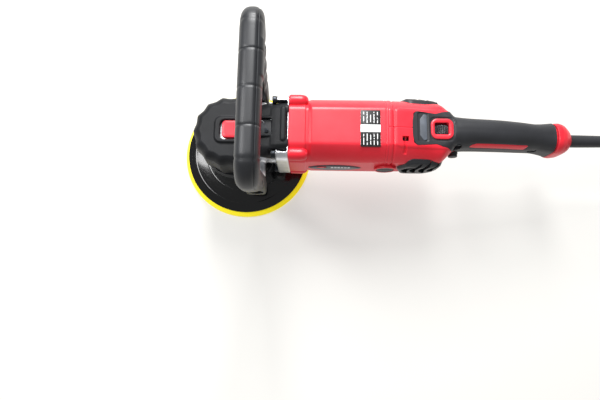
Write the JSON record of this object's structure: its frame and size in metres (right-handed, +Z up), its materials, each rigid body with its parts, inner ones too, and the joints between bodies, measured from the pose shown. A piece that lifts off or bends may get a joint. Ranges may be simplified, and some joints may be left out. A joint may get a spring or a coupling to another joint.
{
  "type": "dual action polisher",
  "caption": "Corded dual action car polisher: a round pad that spins and orbits under a gear head, with a D-shaped front handle, motor body, rear grip with trigger, and coiled lead.",
  "frame": {"origin": "centre of the pad's hook face, at rest", "axes": "+Z up along the spindle, +X from the pad towards the rear grip, -Y the user's left as they hold the rear grip"},
  "size_m": [0.648, 0.1657, 0.2057],
  "materials": {
    "yellow_foam": "matt polyurethane foam",
    "gloss_black": "glossy",
    "black_plastic": "fine satin grain",
    "black_rubber": "matt soft-touch rubber",
    "cord_rubber": "smooth satin",
    "red_plastic": "satin gloss",
    "aluminium": "fine blasted casting",
    "steel": "machined",
    "copper": "bare",
    "brass": "bare",
    "carbon": "matt",
    "board_green": "solder mask"
  },
  "bodies": {
    "housing": {"spindle_bearing_lower": "steel", "spindle_bearing_upper": "steel", "bearing_plate": "aluminium", "gear_housing": "aluminium", "head_boot": "black_rubber", "shroud": "black_plastic", "lock_spring": "steel", "d_handle_front": "black_plastic", "d_handle_rear": "black_plastic", "handle_bolt_left": "steel", "handle_bolt_right": "steel", "motor_housing": "red_plastic", "stator": "steel", "motor_bearing_front": "steel", "motor_bearing_rear": "steel", "brush_holder_left": "brass", "brush_holder_right": "brass", "carbon_brush_left": "carbon", "carbon_brush_right": "carbon", "brush_cap_left": "black_plastic", "brush_cap_right": "black_plastic", "flange_screw_1": "steel", "flange_screw_2": "steel", "flange_screw_3": "steel", "flange_screw_4": "steel", "rear_shell_left": "red_plastic", "rear_shell_right": "red_plastic", "grip_left": "black_rubber", "grip_right": "black_rubber", "vent_cover_left": "black_plastic", "vent_cover_right": "black_plastic", "dial_ring": "red_plastic", "control_board": "board_green", "trigger_switch": "black_plastic", "shell_screw_1": "steel", "shell_screw_2": "steel", "shell_screw_3": "steel", "tail_cap": "red_plastic", "cord_guard": "black_rubber", "power_cord": "cord_rubber", "cord_coil": "cord_rubber", "plug_body": "black_rubber", "plug_pin_1": "brass", "plug_pin_2": "brass"},
    "spindle": {"spindle": "steel", "bevel_gear": "steel", "counterweight": "steel", "pad_bearing": "steel"},
    "pad": {"foam_pad": "yellow_foam", "backing_plate": "gloss_black", "pad_arbor": "steel"},
    "armature": {"motor_shaft": "steel", "armature_core": "copper", "commutator": "copper", "cooling_fan": "black_plastic", "bevel_pinion": "steel"},
    "spindle_lock": {"spindle_lock_button": "red_plastic"},
    "trigger": {"trigger": "black_plastic"},
    "lock_on": {"lock_on_button": "black_plastic"},
    "dial": {"speed_dial": "black_plastic"}
  },
  "joints": [
    {"name": "spindle_spin", "type": "hinge", "parent": "housing", "child": "spindle", "pos_m": [-0.0075, 0, 0.07], "axis": [0, 0, 1], "continuous": true},
    {"name": "pad_spin", "type": "hinge", "parent": "spindle", "child": "pad", "pos_m": [0, 0, 0.03], "axis": [0, 0, 1], "continuous": true},
    {"name": "armature_spin", "type": "hinge", "parent": "housing", "child": "armature", "pos_m": [0.1, 0, 0.08], "axis": [1, 0, 0], "continuous": true},
    {"name": "spindle_lock_press", "type": "slide", "parent": "housing", "child": "spindle_lock", "axis": [0, 0, -1], "range_m": [0, 0.003], "stiffness_N_per_m": 700, "springref_m": -0.002, "deforming": ["lock_spring"]},
    {"name": "trigger_pull", "type": "hinge", "parent": "housing", "child": "trigger", "pos_m": [0.228, 0, 0.075], "axis": [0, -1, 0], "range_deg": [0, 8], "stiffness_Nm_per_rad": 1.2, "springref_deg": -5.73},
    {"name": "lock_on_press", "type": "slide", "parent": "housing", "child": "lock_on", "axis": [0, 1, 0], "range_m": [0, 0.003], "stiffness_N_per_m": 500, "springref_m": -0.002},
    {"name": "speed_dial_turn", "type": "hinge", "parent": "housing", "child": "dial", "pos_m": [0.2025, 0, 0.0954], "axis": [0, 1, 0], "range_deg": [-135, 135]}
  ],
  "couplings": [
    {"joint": "armature_spin", "follows": "spindle_spin", "ratio": 4}
  ]
}
